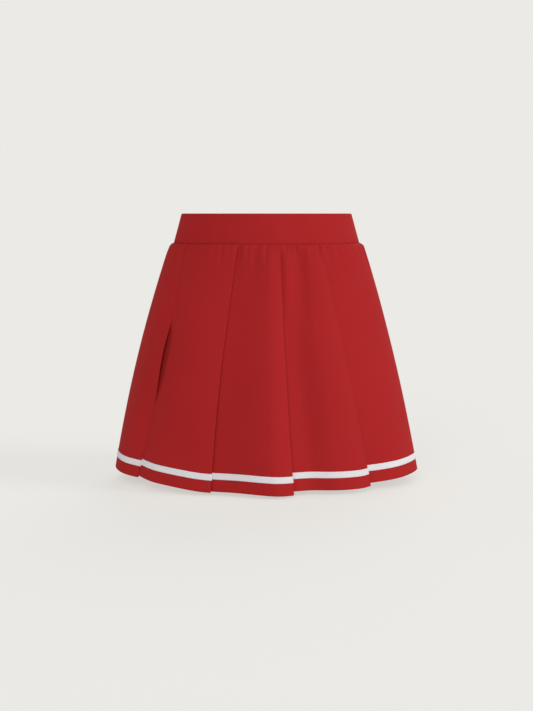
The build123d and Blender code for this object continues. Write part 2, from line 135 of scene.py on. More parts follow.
BULGE_AT_WAIST = 2.5                # how far each panel swells beyond its own edge
BULGE_AT_HEM = 10.0
BULGE_START = 16.0                  # height below the waist seam that the swelling starts over
HOLLOW_DEPTHS = (60.0, 250.0)       # a panel's hollow deepens between these depths
HOLLOW_PLACE = (0.40, 0.17)         # its middle and half width, as shares of the panel
EDGE_DROP_DEPTH = 190.0             # below here the pleats' edges hang lower than the next pleat
SAG_DEPTH = 120.0                   # and below here the hem's sag is felt
SIDE_FOLD = 4                       # the front panel ends inside this fold
BACK_FOLD = 7                       # the first fold past centre back

PANEL_COLUMNS = 60
BEND_COLUMNS = 6
RETURN_COLUMNS = 9
HEM_ROWS = 3                        # rows of the cloth turned up inside the hem

PUCKERS_FOOT = BAND_HEIGHT + 35     # the rows are closer together down to here
HEM_TURN = 16.0                     # height of the cloth turned up inside the hem
HEM_ROLL = 0.62                     # radius of that fold, to the middle of the cloth
STRIPE_TOP = 26.0                   # above the hem
STRIPE_FOOT = 17.0
STRIPE = 0.5
STRIPE_GAP = 0.05                   # between the ribbon and the cloth that it is sewn to
STITCH_INSET = 0.9                  # from the ribbon's edge to its stitches
HEM_STITCH_INSET = 3.5              # from the turned-up edge to the stitches along it
HEM_STITCH_SPACING = 4.6


# ------------------------------------------------------------------ small helpers
def between(start, end, share):
    return start + (end - start) * share


def ease(low, high, value):
    """0 below low, 1 above high, and smooth between them."""
    share = np.clip((value - low) / (high - low), 0.0, 1.0)
    return share * share * (3 - 2 * share)


def bell(value, centre, width):
    return np.exp(-(((value - centre) / width) ** 2))


def mesh_piece(name, points, faces, material, body, uv=None):
    """A smooth-shaded piece from points in millimetres; uv gives each point's place on the flat cloth."""
    mesh = bpy.data.meshes.new(name)
    mesh.from_pydata((np.asarray(points) * MM).tolist(), [], faces)
    mesh.update()
    mesh.polygons.foreach_set("use_smooth", [True] * len(mesh.polygons))
    if uv is not None:
        layer = mesh.uv_layers.new(name="cloth")
        corners = np.zeros(len(mesh.loops), dtype=int)
        mesh.loops.foreach_get("vertex_index", corners)
        layer.data.foreach_set("uv", (np.asarray(uv)[corners] * MM).ravel())
    piece = bpy.data.objects.new(name, mesh)
    bpy.context.collection.objects.link(piece)
    mesh.materials.append(material)
    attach(piece, body)
    return piece


def grid_normals(grid):
    """Unit normals of a grid of points; they point to the cloth's right side on a grid that runs
    down its rows and to the wearer's left along its columns at the front."""
    down = np.gradient(grid, axis=0)
    along = np.gradient(grid, axis=1)
    normals = np.cross(down, along)
    return normals / np.linalg.norm(normals, axis=2, keepdims=True)


def thick_sheet(grid, thickness):
    """Points, faces and flat places of a closed sheet on both sides of a grid."""
    rows, columns = grid.shape[:2]
    normals = grid_normals(grid) * thickness / 2
    points = np.concatenate([(grid + normals).reshape(-1, 3), (grid - normals).reshape(-1, 3)])
    back = rows * columns
    index = np.arange(back).reshape(rows, columns)
    corners = (index[:-1, :-1], index[1:, :-1], index[1:, 1:], index[:-1, 1:])
    front_faces = np.stack(corners, axis=-1).reshape(-1, 4)
    faces = [front_faces, front_faces[:, ::-1] + back]
    rim = np.concatenate([index[0, :], index[1:, -1], index[-1, -2::-1], index[-2:0:-1, 0]])
    following = np.roll(rim, -1)
    faces.append(np.stack([rim, following, following + back, rim + back], axis=-1))
    along = np.concatenate([[0], np.cumsum(np.linalg.norm(np.diff(grid[-1], axis=0), axis=1))])
    down = np.concatenate([[0], np.cumsum(np.linalg.norm(np.diff(grid[:, 0], axis=0), axis=1))])
    flat = np.stack(np.meshgrid(along, down), axis=-1).reshape(-1, 2)
    return points, np.concatenate(faces).tolist(), np.concatenate([flat, flat])


def sheet_piece(name, grid, thickness, material, body="root"):
    points, faces, flat = thick_sheet(grid, thickness)
    return mesh_piece(name, points, faces, material, body, flat)


def along_path(at, run, values):
    return np.stack([np.interp(at, run, values[:, axis]) for axis in range(3)], axis=-1)


def unit(vectors):
    return vectors / np.linalg.norm(vectors, axis=-1, keepdims=True)


def stitches(path, normals, thread, stitch, spacing):
    """Points and faces of a row of stitches along a path; each is a thread that rises from the cloth."""
    run = np.concatenate([[0], np.cumsum(np.linalg.norm(np.diff(path, axis=0), axis=1))])
    count = int(run[-1] / spacing)
    sides = 6
    # each ring's place along a stitch, its radius and its height, as shares of the stitch and the thread
    profile = np.array([
        (0.0, 0.35, -0.6), (0.2, 0.9, 0.3), (0.5, 1.0, 0.6), (0.8, 0.9, 0.3), (1.0, 0.35, -0.6),
    ])
    at = (np.arange(count) + 0.2)[:, None] * spacing + profile[:, 0] * stitch
    centre, up = along_path(at, run, path), unit(along_path(at, run, normals))
    ahead = unit(along_path(at + 0.1, run, path) - along_path(at - 0.1, run, path))
    side = unit(np.cross(up, ahead))
    centre = centre + up * (profile[:, 2] * thread)[:, None]
    turn = np.arange(sides) * 2 * math.pi / sides
    ring = side[:, :, None] * np.cos(turn)[:, None] + up[:, :, None] * np.sin(turn)[:, None]
    points = centre[:, :, None] + ring * (profile[:, 1] * thread)[:, None, None]
    rings = len(profile)
    index = np.arange(count * rings * sides).reshape(count, rings, sides)
    here, there = index[:, :-1], index[:, 1:]
    walls = np.stack([here, np.roll(here, -1, axis=2), np.roll(there, -1, axis=2), there], axis=-1)
    ends = index[:, 0, ::-1].tolist() + index[:, -1].tolist()
    return points.reshape(-1, 3), walls.reshape(-1, 4).tolist() + ends


def stitched_piece(name, rows, material, thread=0.17, stitch=2.3, spacing=3.2, body="root"):
    """One piece of several rows of stitches; each row is its path and the cloth's normals along it."""
    points, faces = [], []
    for path, normals in rows:
        row_points, row_faces = stitches(path, normals, thread, stitch, spacing)
        start = sum(len(group) for group in points)
        points.append(row_points)
        faces += [[start + corner for corner in face] for face in row_faces]
    return mesh_piece(name, np.concatenate(points), faces, material, body)


def eased_copy(node, name, material, body, radius):
    """A copy of a hard CAD piece with its sharp edges rounded, standing in for it."""
    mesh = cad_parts[node].data.copy()
    shape = bmesh.new()
    shape.from_mesh(mesh)
    bmesh.ops.remove_doubles(shape, verts=shape.verts, dist=0.001 * MM)
    bmesh.ops.dissolve_limit(shape, angle_limit=math.radians(2), verts=shape.verts, edges=shape.edges)
    corner = math.radians(35)
    sharp = [edge for edge in shape.edges if edge.is_manifold and edge.calc_face_angle() > corner]
    bmesh.ops.bevel(
        shape, geom=sharp, offset=radius * MM, segments=2, profile=0.5, affect="EDGES", clamp_overlap=True
    )
    shape.to_mesh(mesh)
    shape.free()
    mesh.materials.clear()
    mesh.materials.append(material)
    mesh.polygons.foreach_set("material_index", [0] * len(mesh.polygons))
    mesh.polygons.foreach_set("use_smooth", [True] * len(mesh.polygons))
    mesh.set_sharp_from_angle(angle=math.radians(30))
    piece = bpy.data.objects.new(name, mesh)
    bpy.context.collection.objects.link(piece)
    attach(piece, body)
    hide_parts(node)
    return piece


# ------------------------------------------------------------------ materials
def new_material(name):
    material = bpy.data.materials.new(name)
    material.use_nodes = True
    tree = material.node_tree
    return material, tree, tree.nodes["Principled BSDF"]


def add_node(tree, kind, **settings):
    node = tree.nodes.new(kind)
    for key, value in settings.items():
        if key in node.inputs:
            node.inputs[key].default_value = value
        else:
            setattr(node, key, value)
    return node


def cloth_material(name, color, deep, roughness, sheen, grain, grain_bump, rib=None, rib_bump=0.0):
    """Woven or knitted cloth: a colour that drifts a little, fine grain, and ribs along the cloth if any."""
    material, tree, shader = new_material(name)
    link = tree.links.new
    place = add_node(tree, "ShaderNodeTexCoord")
    drift = add_node(tree, "ShaderNodeTexNoise", Scale=9.0, Detail=3.0, Roughness=0.55)
    link(place.outputs["Object"], drift.inputs["Vector"])
    fine = add_node(tree, "ShaderNodeTexNoise", Scale=grain, Detail=2.0, Roughness=0.6)
    link(place.outputs["Object"], fine.inputs["Vector"])
    blend = add_node(tree, "ShaderNodeMix", data_type="RGBA")
    blend.inputs["A"].default_value = (*deep, 1)
    blend.inputs["B"].default_value = (*color, 1)
    mixed = add_node(tree, "ShaderNodeMath", operation="MULTIPLY_ADD")
    mixed.inputs[1].default_value = 0.5
    link(fine.outputs["Fac"], mixed.inputs[0])
    halved = add_node(tree, "ShaderNodeMath", operation="MULTIPLY")
    halved.inputs[1].default_value = 0.5
    link(drift.outputs["Fac"], halved.inputs[0])
    link(halved.outputs["Value"], mixed.inputs[2])
    spread = add_node(tree, "ShaderNodeMapRange")
    spread.inputs["From Min"].default_value = 0.3
    spread.inputs["From Max"].default_value = 0.7
    link(mixed.outputs["Value"], spread.inputs["Value"])
    link(spread.outputs["Result"], blend.inputs["Factor"])
    link(blend.outputs["Result"], shader.inputs["Base Color"])
    bump = add_node(tree, "ShaderNodeBump", Strength=grain_bump, Distance=0.0003)
    link(fine.outputs["Fac"], bump.inputs["Height"])
    last = bump
    if rib:
        flat = add_node(tree, "ShaderNodeUVMap", uv_map="cloth")
        ribs = add_node(tree, "ShaderNodeTexWave", Scale=rib, Distortion=0.4)
        link(flat.outputs["UV"], ribs.inputs["Vector"])
        last = add_node(tree, "ShaderNodeBump", Strength=rib_bump, Distance=0.0003)
        link(ribs.outputs["Fac"], last.inputs["Height"])
        link(bump.outputs["Normal"], last.inputs["Normal"])
    link(last.outputs["Normal"], shader.inputs["Normal"])
    shader.inputs["Roughness"].default_value = roughness
    shader.inputs["Specular IOR Level"].default_value = 0.1
    shader.inputs["Sheen Weight"].default_value = sheen
    shader.inputs["Sheen Roughness"].default_value = 0.45
    shader.inputs["Sheen Tint"].default_value = (*[min(1.0, c * 1.6 + 0.1) for c in color], 1)
    return material


def hard_material(name, color, roughness, metallic, grain):
    """Enamel, plating or moulded plastic with faint unevenness in its gloss."""
    material, tree, shader = new_material(name)
    link = tree.links.new
    place = add_node(tree, "ShaderNodeTexCoord")
    noise = add_node(tree, "ShaderNodeTexNoise", Scale=grain, Detail=4.0)
    link(place.outputs["Object"], noise.inputs["Vector"])
    gloss = add_node(tree, "ShaderNodeMapRange")
    gloss.inputs["To Min"].default_value = roughness * 0.75
    gloss.inputs["To Max"].default_value = min(1.0, roughness * 1.35)
    link(noise.outputs["Fac"], gloss.inputs["Value"])
    link(gloss.outputs["Result"], shader.inputs["Roughness"])
    bump = add_node(tree, "ShaderNodeBump", Strength=0.12, Distance=0.0001)
    link(noise.outputs["Fac"], bump.inputs["Height"])
    link(bump.outputs["Normal"], shader.inputs["Normal"])
    shader.inputs["Base Color"].default_value = (*color, 1)
    shader.inputs["Metallic"].default_value = metallic
    return material


RED = (0.385, 0.0165, 0.0175)
RED_DEEP = (0.345, 0.0135, 0.0145)
WHITE = (0.80, 0.78, 0.81)
LINING_RED = (0.33, 0.012, 0.016)
LINING_DEEP = (0.27, 0.010, 0.013)

# each cloth's colour and its deeper tone, roughness, sheen, grain and the depth of the grain, then any ribs
skirt_cloth = cloth_material("skirt_cloth", RED, RED_DEEP, 0.9, 0.06, 1500.0, 0.35)
band_cloth = cloth_material("band_cloth", RED, RED_DEEP, 0.9, 0.06, 1500.0, 0.35)
facing_cloth = cloth_material("facing_cloth", LINING_RED, LINING_DEEP, 0.9, 0.2, 1200.0, 0.4)
stripe_ribbon = cloth_material("stripe_ribbon", WHITE, (0.70, 0.68, 0.71), 0.8, 0.15, 2200.0, 0.3, 520.0, 0.5)
loop_ribbon = cloth_material("loop_ribbon", (0.38, 0.016, 0.02), (0.3, 0.012, 0.015), 0.45, 0.1, 2200.0, 0.2)
label_satin = cloth_material("label_satin", (0.85, 0.85, 0.83), (0.78, 0.78, 0.76), 0.4, 0.1, 2200.0, 0.15)
tape_cloth = cloth_material("tape_cloth", (0.36, 0.014, 0.018), (0.30, 0.012, 0.015), 0.8, 0.2, 1800.0, 0.4)
stiffener = cloth_material("stiffener", (0.30, 0.014, 0.016), (0.25, 0.010, 0.012), 0.9, 0.1, 900.0, 0.5)
red_thread = cloth_material("red_thread", (0.30, 0.012, 0.015), (0.24, 0.010, 0.012), 0.6, 0.1, 4000.0, 0.3)
white_thread = cloth_material("white_thread", (0.85, 0.84, 0.86), (0.75, 0.74, 0.76), 0.6, 0.1, 4000.0, 0.3)
zip_plastic = hard_material("zip_plastic", (0.30, 0.010, 0.013), 0.40, 0.0, 700.0)
zip_enamel = hard_material("zip_enamel", (0.30, 0.008, 0.011), 0.42, 0.0, 500.0)
plated_wire = hard_material("plated_wire", (0.75, 0.75, 0.77), 0.2, 1.0, 600.0)


# ------------------------------------------------------------------ the skirt's base line
def fall(depth):
    """0 at the waist seam, 1 at the hem."""
    return (depth - BAND_HEIGHT) / (HEM_DEPTH - BAND_HEIGHT)


def looseness(depth):
    """0 where the folds lie pressed flat, rising to 1 at the hem."""
    return min(max((depth - PRESSED_DEPTH) / (HEM_DEPTH - PRESSED_DEPTH), 0.0), 1.0) ** 2


def gape(depth):
    return ease(*GAPE_OPENS, depth) * (1 - ease(*GAPE_CLOSES, depth))


def fold_place(fold, depth):
    """A smooth curve through the fold's three places."""
    waist, middle, hem = FOLDS[fold][:3]
    share = fall(depth)
    return between(waist, hem, share) + (middle - (waist + hem) / 2) * 4 * share * (1 - share)


def fold_lift(fold, depth):
    return between(LIFT_AT_SEAM, FOLDS[fold][3], looseness(depth))


def layer_pitch(depth):
    return between(PITCH_PRESSED, PITCH_AT_HEM, ease(250, HEM_DEPTH - STRIPE_TOP, depth))


def back_y(depth):
    below = max(depth - BACK_KINK_DEPTH, 0.0)
    eased = BACK_SWING * (1 - math.exp(-below / BACK_SWING))
    lean = BACK_LEAN_BELOW * below + (ZIP_LEAN - BACK_LEAN_BELOW) * eased
    return ZIP_PLANE_Y + BACK_CLOTH_OFFSET + ZIP_LEAN * min(depth, BACK_KINK_DEPTH) + lean


class BaseLine:
    """The line that the inner layer of the pleats follows at one depth, from centre back to centre back."""

    def __init__(self, depth):
        self.depth = depth
        share = fall(depth)
        wide = SHOULDER_HALF_WIDTH + SIDE_FLARE * share - SIDE_EASE * share**2
        deep = back_y(depth) - BACK_LIFT_SHARE * between(LIFT_AT_WAIST, FOLDS[BACK_FOLD][3], share)
        fuller = between(FRONT_FULLER_AT_WAIST, FRONT_FULLER_AT_HEM, share)
        turn = np.linspace(-math.pi, math.pi, 2401)
        forward = np.cos(turn)
        half_depth = deep + np.where(forward > 0, fuller * np.sqrt(np.abs(forward)), 0.0)
        self.x = wide * np.sin(turn)
        self.y = -half_depth * forward * np.abs(forward) ** (POINTED_AT_HEM * share)
        self.run = np.concatenate([[0], np.cumsum(np.hypot(np.diff(self.x), np.diff(self.y)))])
        self.girth = self.run[-1]
        self.wide = wide

    def on_line(self, run):
        """x and y at a run from centre front, which may pass centre back."""
        where = np.mod(run + self.girth / 2, self.girth)
        return np.interp(where, self.run, self.x), np.interp(where, self.run, self.y)

    def standing_off(self, run, lift):
        x, y = self.on_line(run)
        x_after, y_after = self.on_line(run + 2.5)
        x_before, y_before = self.on_line(run - 2.5)
        length = np.hypot(x_after - x_before, y_after - y_before)
        out_x = (y_after - y_before) / length
        out_y = -(x_after - x_before) / length
        return x + lift * out_x, y + lift * out_y


# ------------------------------------------------------------------ how the pleats hang
def panel_rise(share, fold, depth):
    """A pleat's outer layer dips behind the fold before it, climbs to its crest and rolls to its edge."""
    crest, hollow = FOLDS[fold][5:]
    bulge = panel_bulge(fold, depth)
    foot = max(crest - 0.62, 0.05)
    climb = (fold_lift(fold, depth) + bulge) * ease(foot, crest, share)
    roll = np.clip((share - crest + 0.06) / (1.06 - crest), 0, 1) ** 2
    return climb - bulge * roll - hollow * ease(*HOLLOW_DEPTHS, depth) * bell(share, *HOLLOW_PLACE)


def panel_bulge(fold, depth):
    """Panels at the front and back swell more than those at the sides."""
    facing = math.cos(2 * math.pi * fold_place(fold, depth)) ** 2
    size = between(BULGE_AT_WAIST, BULGE_AT_HEM, fall(depth))
    begun = ease(BAND_HEIGHT, BAND_HEIGHT + BULGE_START, depth)
    return size * begun * between(0.5, 1.0, facing)


def drape(fold, share, depth):
    """Small soft waves of one panel, in millimetres off its plain shape."""
    down = fall(depth)
    middle = 4 * share * (1 - share)
    wave = 1.0 * math.sin(1.7 * fold + 2.2 * down)
    wave = wave + 0.7 * np.sin(2 * math.pi * (1.3 * share + 0.37 * fold) + 1.5 * down)
    return down * middle * wave


# soft upright ridges and hollows in the upper half: place round the girth, half width, height and the
# depth that they fade out by
FLUTES = [
    (-0.100, 12.0, 0.8, 110), (-0.019, 9.0, -1.3, 140), (0.012, 11.0, 0.9, 160), (0.035, 6.5, 3.2, 180),
    (0.060, 8.0, -2.4, 200), (0.122, 9.0, -1.2, 95), (0.170, 10.0, 0.8, 120), (0.290, 12.0, 1.2, 130),
    (0.400, 11.0, -1.0, 120), (-0.395, 10.0, 1.0, 130), (-0.310, 12.0, -1.2, 140), (-0.225, 10.0, 0.8, 110),
]


def flutes(around, depth):
    height = np.zeros_like(around)
    for place, half_width, size, fade in FLUTES:
        strength = size * ease(BAND_HEIGHT, BAND_HEIGHT + 18, depth) * (1 - ease(0.4 * fade, fade, depth))
        height += strength * bell(around, place * WAIST_GIRTH, half_width)
    return height


PUCKER_COUNT = 96
PUCKER_LIMIT = 2.0                  # puckers that run together are never much higher than this


def scatter_puckers():
    """Place, half width, size and length of each short pucker at the waist seam; most gather by a fold."""
    chance = np.random.default_rng(12)
    tops = [place[0] for place in FOLDS]
    found = []
    for _ in range(PUCKER_COUNT):
        place = chance.uniform(-0.5, 0.5)
        if chance.random() < 0.55:
            place = chance.choice(tops) + chance.normal(0, 0.022)
        place = (place + 0.5) % 1 - 0.5
        found.append((place, chance.uniform(1.6, 2.6), chance.uniform(-3.4, 1.9), chance.uniform(8, 26)))
    return found


PUCKERS = scatter_puckers()


def puckers(around, depth):
    """Short upright puckers where the pleats go into the waist seam."""
    height = np.zeros_like(around)
    down = max(depth - BAND_HEIGHT - SEAM_DROP, 0.0)
    for place, half_width, size, length in PUCKERS:
        fade = math.exp(-((down / length) ** 2)) * ease(0, 4, down)
        height += size * fade * bell(around, place * WAIST_GIRTH, half_width * (1 + down / 60))
    return PUCKER_LIMIT * np.tanh(height / PUCKER_LIMIT)


def below_seam(depth):
    """0 where the cloth is tucked in under the band, 1 where it has rounded out."""
    return min(max((depth - BAND_HEIGHT - SEAM_DROP) / SHOULDER, 0.0), 1.0)


def drawn_in(x, y, depth):
    """A row drawn in to the foot of the band, where the cloth rounds out from under it."""
    pull = 1 - math.sqrt(1 - (1 - below_seam(depth)) ** 2)
    beyond = np.hypot(x / (BAND_FOOT_HALF_WIDTH - SEAM_INSET), y / (BAND_FOOT_HALF_DEPTH - SEAM_INSET))
    scale = beyond ** (-0.9 * pull)
    return x * scale, y * scale


def pleat_path(line, fold, first=0.0, last=1.0, turn_back=True):
    """Run, lift and drop of the cloth's middle across one pleat: its panel, the bend at its edge, the layer
    folded back and the bend at the inner fold.  first and last cut the panel short, by run."""
    depth = line.depth
    under = UNDERLAY * line.girth
    edge = fold_place(fold, depth) * line.girth
    before = fold_place(fold - 1, depth) * line.girth - (line.girth if fold == 0 else 0)
    roll = layer_pitch(depth) / 2
    start = before - under + roll
    share = between(first, last, np.linspace(0, 1, PANEL_COLUMNS + 1))
    run = between(start, edge - roll, share)
    rise = panel_rise(share, fold, depth) + drape(fold, share, depth)
    if fold == GAPING_FOLD:
        rise = rise + GAPE * gape(depth) * share**8
    if fold == GAPING_FOLD + 1:
        rise = rise - GAPE * gape(depth) * bell(run, before + 2.0, 4.0)
    hang = FOLDS[fold][4] * ease(EDGE_DROP_DEPTH, HEM_DEPTH, depth)
    runs, lifts, drops = [run], [rise], [hang * share**2]
    if turn_back:
        top = rise[-1]
        turn = np.linspace(math.pi / 2, -math.pi / 2, BEND_COLUMNS + 1)[1:]
        runs.append(edge - roll + roll * np.cos(turn))
        lifts.append(top - roll + roll * np.sin(turn))
        drops.append(np.full(BEND_COLUMNS, hang))
        inner = edge - under + roll
        back = np.linspace(0, 1, RETURN_COLUMNS + 1)[1:]
        runs.append(between(edge - roll, inner, back))
        lifts.append(between(top - 2 * roll, 2 * roll, back))
        drops.append(hang * (1 - back) ** 2)
        turn = np.linspace(math.pi / 2, 1.5 * math.pi, BEND_COLUMNS + 1)[1:-1]
        runs.append(inner + roll * np.cos(turn))
        lifts.append(roll + roll * np.sin(turn))
        drops.append(np.zeros(BEND_COLUMNS - 1))
    return np.concatenate(runs), np.concatenate(lifts), np.concatenate(drops)


def back_share(line, side):
    """How far across the back pleat's panel the zip's slit comes; side is 1 on the wearer's left."""
    depth = line.depth
    roll = layer_pitch(depth) / 2
    start = (fold_place(BACK_FOLD - 1, depth) - UNDERLAY) * line.girth + roll
    end = fold_place(BACK_FOLD, depth) * line.girth - roll
    slit = SLIT * (1 - ease(SLIT_END - SLIT_CLOSING, SLIT_END, depth))
    return (line.girth / 2 - side * slit - start) / (end - start)


def cloth_row(place, depth):
    """One row across a panel of the skirt: the middle of the cloth, from its right-hand seam to its left."""
    line = BaseLine(depth)
    if place == "front":
        paths = [pleat_path(line, fold) for fold in range(SIDE_FOLD + 1)]
    elif place == "back_left":
        paths = [pleat_path(line, fold) for fold in range(SIDE_FOLD + 1, BACK_FOLD)]
        paths.append(pleat_path(line, BACK_FOLD, last=back_share(line, 1), turn_back=False))
    else:
        paths = [pleat_path(line, BACK_FOLD, first=back_share(line, -1))]
        paths += [pleat_path(line, fold) for fold in range(BACK_FOLD + 1, len(FOLDS))]
    run, lift, drop = (np.concatenate(parts) for parts in zip(*paths))
    around = (run / line.girth + 0.5) % 1 * WAIST_GIRTH - 0.5 * WAIST_GIRTH
    x, y = line.on_line(run)
    by_zip = (y > 0) * (1 - ease(BACK_FLAT, BACK_EASE, np.abs(x)))
    texture = flutes(around, depth) + puckers(around, depth)
    x, y = drawn_in(*line.standing_off(run, lift + texture * (1 - by_zip)), depth)
    y = between(y, back_y(depth), by_zip * in_back_panel(place, run))
    side = x / line.wide
    length = (depth - BAND_HEIGHT) * (1 - HEM_RISE[0] - HEM_RISE[1] * side - HEM_RISE[2] * side**2)
    place_of_sag, width_of_sag, sag = SAG
    sag = sag * ease(SAG_DEPTH, HEM_DEPTH, depth)
    drop = drop + sag * bell(around / WAIST_GIRTH, place_of_sag, width_of_sag)
    x = x + SWAY * fall(depth) * (1 - by_zip)
    z = -(BAND_HEIGHT + length + drop)
    return np.stack([x, y, z], axis=-1)


def in_back_panel(place, run):
    """1 on the outer layer that the zip is set in, and 0 on the layers behind it."""
    panel = np.zeros(len(run))
    if place == "back_left":
        panel[-PANEL_COLUMNS - 1:] = 1
    elif place == "back_right":
        panel[:PANEL_COLUMNS + 1] = 1
    return panel


def panel_depths():
    """Depths of the rows: close together where the cloth rounds out from the band, and evenly below."""
    seam = BAND_HEIGHT + SEAM_DROP
    rounded = seam + SHOULDER * (1 - np.cos(np.linspace(0, math.pi / 2, 9)))
    upper = np.linspace(seam + SHOULDER, PUCKERS_FOOT, 18)[1:]
    lower = np.linspace(PUCKERS_FOOT, HEM_DEPTH - HEM_ROLL, 72)[1:]
    return np.concatenate([rounded, upper, lower])


def panel_grid(place, depths):
    return np.array([cloth_row(place, depth) for depth in depths])


def with_hem(grid):
    """The grid carried round the fold at the hem and up inside."""
    normals = grid_normals(grid)
    rows = [grid]
    low = grid[-1] - normals[-1] * HEM_ROLL
    for turn in np.linspace(0, math.pi, 7)[1:]:
        out = normals[-1] * math.cos(turn) * HEM_ROLL
        drop = np.array([0, 0, -1.0]) * math.sin(turn) * HEM_ROLL
        rows.append((low + out + drop)[None])
    for step in range(1, HEM_ROWS + 1):
        rows.append((grid[-1 - step] - normals[-1 - step] * 2 * HEM_ROLL)[None])
    return np.concatenate(rows)


# ------------------------------------------------------------------ skirt panels and the stripe
def cloth_line(place, depth, off):
    """A line along a panel at one depth, off to the cloth's right side, and the cloth's normals along it."""
    grid = panel_grid(place, [depth - 1, depth, depth + 1])
    normals = grid_normals(grid)[1]
    return grid[1] + normals * off, normals


def stripe_stitches(place):
    off = CLOTH / 2 + STRIPE + STRIPE_GAP
    depths = (HEM_DEPTH - STRIPE_TOP + STITCH_INSET, HEM_DEPTH - STRIPE_FOOT - STITCH_INSET)
    rows = [cloth_line(place, depth, off) for depth in depths]
    return stitched_piece(f"stripe_stitches_{place}", rows, white_thread)


def hem_stitches(place):
    path, normals = cloth_line(place, HEM_DEPTH - HEM_TURN + HEM_STITCH_INSET, -2 * HEM_ROLL - CLOTH / 2)
    rows = [(path, -normals)]
    return stitched_piece(
        f"hem_stitches_{place}", rows, red_thread, spacing=HEM_STITCH_SPACING
    )


def skirt_panel(place):
    depths = panel_depths()
    grid = panel_grid(place, depths)
    piece = sheet_piece(f"cloth_{place}", with_hem(grid), CLOTH, skirt_cloth)
    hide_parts(f"skirt_{place}")

    stripe_depths = np.linspace(HEM_DEPTH - STRIPE_TOP, HEM_DEPTH - STRIPE_FOOT, 7)
    under = panel_grid(place, stripe_depths)
    off = (CLOTH + STRIPE) / 2 + STRIPE_GAP
    stripe_grid = under + grid_normals(under) * off
    stripe = sheet_piece(f"stripe_{place}", stripe_grid, STRIPE, stripe_ribbon)
    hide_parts(f"hem_stripe_{place}")

    stripe_stitches(place)
    hem_stitches(place)


# ------------------------------------------------------------------ waistband
SIDE_SEAM = 0.02                    # half the gap between two pieces of the band
ZIP_EDGE = SLIT + 0.05              # from centre back to the band's edge beside the zip


def band_point(turn, inset, depth):
    """A point of the band's oval; turn is 0 at centre front, and inset is inward from the outer face."""
    share = depth / BAND_HEIGHT
    wide = between(BAND_TOP_HALF_WIDTH, BAND_FOOT_HALF_WIDTH, share)
    deep = BAND_TOP_HALF_DEPTH + ZIP_LEAN * depth
    x, y = wide * np.sin(turn), -deep * np.cos(turn)
    out_x, out_y = np.sin(turn) / wide, -np.cos(turn) / deep
    length = np.hypot(out_x, out_y)
    z = np.full_like(x, -depth)
    return np.stack([x - inset * out_x / length, y - inset * out_y / length, z], axis=-1)


def band_turns(place, slit):
    """Turns along one piece of the band, from its right-hand end to its left."""
    seam = SIDE_SEAM / BAND_TOP_HALF_DEPTH
    ends = {
        "front": (-math.pi / 2 + seam, math.pi / 2 - seam),
        "back_left": (math.pi / 2 + seam, math.pi - slit / BAND_TOP_HALF_WIDTH),
        "back_right": (-math.pi + slit / BAND_TOP_HALF_WIDTH, -math.pi / 2 - seam),
    }[place]
    return np.linspace(*ends, 97 if place == "front" else 49)


def band_piece(place):
    turns = band_turns(place, ZIP_EDGE)
    middle = BAND_CLOTH / 2
    rows = []
    for turn in np.linspace(0, math.pi, 9):
        inset = middle + BAND_ROLL - BAND_ROLL * math.cos(turn)
        rows.append((inset, middle + BAND_ROLL - BAND_ROLL * math.sin(turn)))
    rows.reverse()
    rows.insert(0, (middle + 2 * BAND_ROLL, BAND_TURNED_IN))
    foot = BAND_HEIGHT - BAND_FOOT_ROLL
    rows += [(middle, depth) for depth in np.linspace(4.0, foot, 14)]
    rows += [(middle + 0.12, foot + 0.35), (middle + 0.5, BAND_HEIGHT)]
    grid = np.array([band_point(turns, inset, depth) for inset, depth in rows])
    # the outline is a little uneven towards the waist seam
    uneven = 0.0005 * np.sin(turns * 17 + 0.6) + 0.0004 * np.sin(turns * 29 + 1.0)
    for row, (_, depth) in enumerate(rows):
        grid[row, :, :2] *= 1 + (uneven * ease(0, BAND_HEIGHT, depth))[:, None]
    piece = sheet_piece(f"band_{place}", grid, BAND_CLOTH, band_cloth)
    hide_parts(f"waistband_{place}")


def facing_piece(place, with_pieces):
    turns = band_turns(place, FACING_BACK_EDGE)
    # both long edges turn a little towards the band
    rows = [(FACING_INSET - 0.2, FACING_TOP), (FACING_INSET, FACING_TOP + 0.4)]
    rows += [(FACING_INSET, depth) for depth in np.linspace(FACING_TOP + 1.5, FACING_FOOT - 0.7, 10)]
    rows.append((FACING_INSET - 0.3, FACING_FOOT))
    grid = np.array([band_point(turns, inset, depth) for inset, depth in rows])
    piece = sheet_piece(f"facing_{place}", grid, FACING, facing_cloth)
    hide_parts(f"waistband_facing_{place}")
    sewn = [facing_line(turns, depth) for depth in (FACING_TOP + 2.0, FACING_FOOT - 2.2)]
    seam = stitched_piece(f"facing_stitches_{place}", sewn, red_thread)


def facing_line(turns, depth):
    """A line along the facing's inner side, and the inward normals along it."""
    path = band_point(turns, FACING_INSET + FACING / 2, depth)
    return path, unit(path - band_point(turns, 0.0, depth))


# ------------------------------------------------------------------ hanger loops and label
LOOP_WIDTH = 6.0
LOOP_SLACK = 1.1                    # half the gap between a loop's two strands
LOOP_ROWS = 26
RIBBON = 0.35
LABEL_CLOTH = 0.25
LABEL_FOLD = 0.55                   # radius of the fold at the label's foot
LABEL_LEAN = 3.6                    # how far its foot hangs in from its sewn edge
LABEL_COLUMNS = 13


def hanging_strip(path, across, width, columns, curl):
    """A strip that follows a path: across is its sideways direction, and curl bends its edges."""
    shares = np.linspace(-1, 1, columns)
    ahead = unit(np.gradient(path, axis=0))
    out = unit(np.cross(across, ahead))
    sideways = across[:, None] * (shares * width / 2)[:, None]
    return path[:, None] + sideways + out[:, None] * (curl * shares**2)[:, None]


